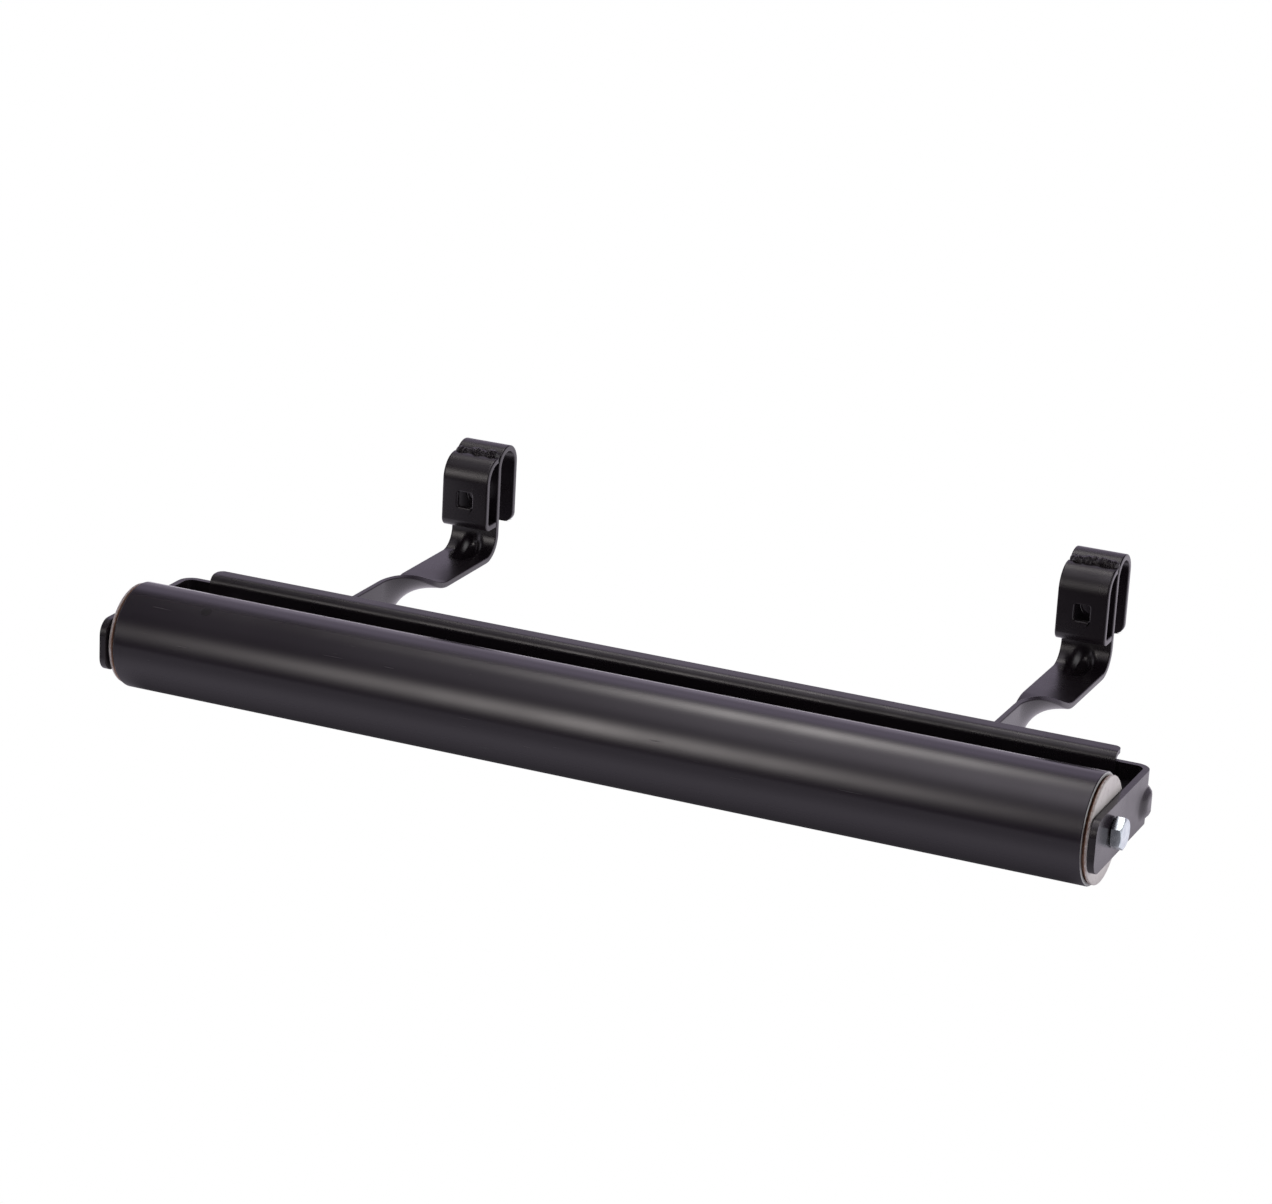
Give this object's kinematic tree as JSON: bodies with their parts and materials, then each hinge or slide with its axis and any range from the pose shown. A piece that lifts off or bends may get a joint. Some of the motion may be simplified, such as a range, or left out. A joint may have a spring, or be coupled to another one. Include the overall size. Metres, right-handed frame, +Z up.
{
  "type": "hook-on load roller",
  "caption": "Sleeved load roller on ball bearings in a flat-bar U bracket with a folded stiffener rail, hung from a crossbar by twisted arms that end in hooks with clamp plates.",
  "frame": {"origin": "midway between the hooks, at the top of their slots, where the crossbar bears", "axes": "+X along the roller, +Y from the roller towards the hooks, +Z up"},
  "size_m": [0.4948, 0.2516, 0.0784],
  "materials": {
    "black_paint": "satin black coating on steel",
    "black_sleeve": "smooth satin black sleeve",
    "bare_tube": "plain steel tube, browned at its cut ends",
    "grey_cap": "smooth light grey moulding",
    "zinc": "bright zinc plate",
    "bearing_steel": "ground bearing steel",
    "seal": "plain black seal"
  },
  "bodies": {
    "frame": {"u_bracket": "black_paint", "stiffener_rail": "black_paint", "arm_left": "black_paint", "arm_right": "black_paint", "clamp_plate_left": "black_paint", "clamp_plate_right": "black_paint", "arm_weld_left_inner": "black_paint", "arm_weld_left_outer": "black_paint", "arm_weld_right_inner": "black_paint", "arm_weld_right_outer": "black_paint", "plate_weld_left": "black_paint", "plate_weld_right": "black_paint", "axle": "zinc", "axle_clip_left": "zinc", "axle_clip_right": "zinc", "inner_race_left": "bearing_steel", "inner_race_right": "bearing_steel", "axle_bolt_left": "zinc", "axle_bolt_right": "zinc"},
    "roller": {"roller_sleeve": "black_sleeve", "roller_tube": "bare_tube", "end_cap_left": "grey_cap", "end_cap_right": "grey_cap", "outer_race_left": "bearing_steel", "outer_race_right": "bearing_steel", "dust_seal_left": "seal", "dust_seal_right": "seal", "ball_row_left": "bearing_steel", "ball_row_right": "bearing_steel"}
  },
  "joints": [
    {"name": "roller_spin", "type": "hinge", "parent": "frame", "child": "roller", "pos_m": [0, -0.21545, -0.0504], "axis": [1, 0, 0], "continuous": true}
  ]
}
